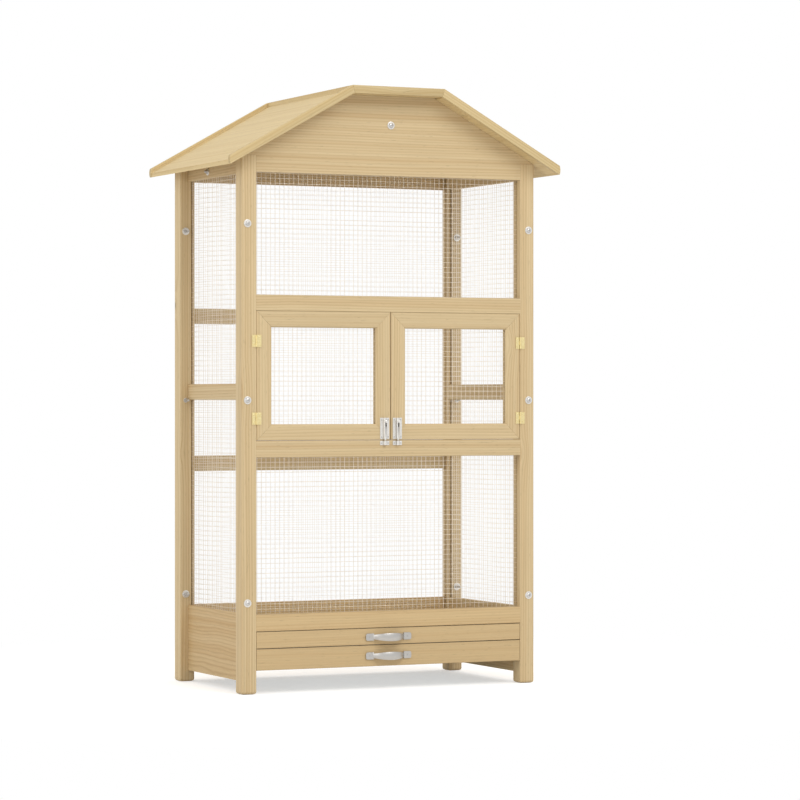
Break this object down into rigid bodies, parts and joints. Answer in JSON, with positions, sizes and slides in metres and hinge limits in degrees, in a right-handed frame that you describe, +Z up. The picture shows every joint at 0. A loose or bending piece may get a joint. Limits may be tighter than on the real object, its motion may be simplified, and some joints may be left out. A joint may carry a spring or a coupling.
{
  "type": "wooden parrot cage",
  "caption": "Tall wooden aviary with welded wire mesh walls, a pitched roof with a flat top, double doors with barrel bolts, a slide-out floor grate and a droppings tray.",
  "frame": {"origin": "on the floor, under the middle of the roof and of the four feet", "axes": "+X to the right along the front, +Y to the back, +Z up"},
  "size_m": [0.924, 0.56, 1.527],
  "materials": {
    "timber": "bare planed softwood, satin",
    "roof_timber": "bare planed softwood, satin",
    "galvanised_wire": "galvanised welded wire",
    "galvanised_sheet": "galvanised sheet",
    "brass": "brass-plated, satin",
    "zinc": "bright zinc-plated",
    "satin_steel": "satin nickel"
  },
  "bodies": {
    "cage": {"front_left_post": "timber", "front_right_post": "timber", "back_left_post": "timber", "back_right_post": "timber", "front_bottom_rail": "timber", "front_lower_rail": "timber", "front_upper_rail": "timber", "back_bottom_board": "timber", "back_lower_rail": "timber", "back_upper_rail": "timber", "left_bottom_board": "timber", "left_middle_rail": "timber", "left_top_rail": "timber", "right_bottom_board": "timber", "right_middle_rail": "timber", "right_top_rail": "timber", "front_gable": "timber", "front_verge": "roof_timber", "back_gable": "timber", "back_verge": "roof_timber", "left_roof_slope": "roof_timber", "right_roof_slope": "roof_timber", "roof_top_board": "roof_timber", "front_lower_mesh": "galvanised_wire", "front_upper_mesh": "galvanised_wire", "back_mesh": "galvanised_wire", "left_lower_mesh": "galvanised_wire", "left_upper_mesh": "galvanised_wire", "left_latch_keeper": "zinc", "left_lower_hinge_post_leaf": "brass", "left_upper_hinge_post_leaf": "brass", "right_lower_mesh": "galvanised_wire", "right_upper_mesh": "galvanised_wire", "right_latch_keeper": "zinc", "right_lower_hinge_post_leaf": "brass", "right_upper_hinge_post_leaf": "brass"},
    "left_door": {"left_door_bottom_rail": "timber", "left_door_top_rail": "timber", "left_door_hinge_stile": "timber", "left_door_latch_stile": "timber", "left_door_mesh": "galvanised_wire", "left_lower_hinge_door_leaf": "brass", "left_upper_hinge_door_leaf": "brass", "left_latch_case": "zinc"},
    "left_bolt": {"left_latch_bolt": "zinc"},
    "right_door": {"right_door_bottom_rail": "timber", "right_door_top_rail": "timber", "right_door_hinge_stile": "timber", "right_door_latch_stile": "timber", "right_door_mesh": "galvanised_wire", "right_lower_hinge_door_leaf": "brass", "right_upper_hinge_door_leaf": "brass", "right_latch_case": "zinc"},
    "right_bolt": {"right_latch_bolt": "zinc"},
    "grate_drawer": {"grate_drawer_front": "timber", "grate_drawer_handle": "satin_steel", "floor_grate": "galvanised_wire"},
    "tray_drawer": {"tray_drawer_front": "timber", "tray_drawer_handle": "satin_steel", "droppings_tray": "galvanised_sheet"}
  },
  "joints": [
    {"name": "left_door_hinge", "type": "hinge", "parent": "cage", "child": "left_door", "pos_m": [-0.37, -0.2327, 0.78], "axis": [0, 0, -1], "range_deg": [0, 170]},
    {"name": "right_door_hinge", "type": "hinge", "parent": "cage", "child": "right_door", "pos_m": [0.37, -0.2327, 0.78], "axis": [0, 0, 1], "range_deg": [0, 170]},
    {"name": "left_bolt_slide", "type": "slide", "parent": "left_door", "child": "left_bolt", "axis": [0, 0, -1], "range_m": [0, 0.012]},
    {"name": "right_bolt_slide", "type": "slide", "parent": "right_door", "child": "right_bolt", "axis": [0, 0, -1], "range_m": [0, 0.012]},
    {"name": "grate_drawer_slide", "type": "slide", "parent": "cage", "child": "grate_drawer", "axis": [0, 1, 0], "range_m": [-0.4, 0]},
    {"name": "tray_drawer_slide", "type": "slide", "parent": "cage", "child": "tray_drawer", "axis": [0, -1, 0], "range_m": [0, 0.4]}
  ]
}
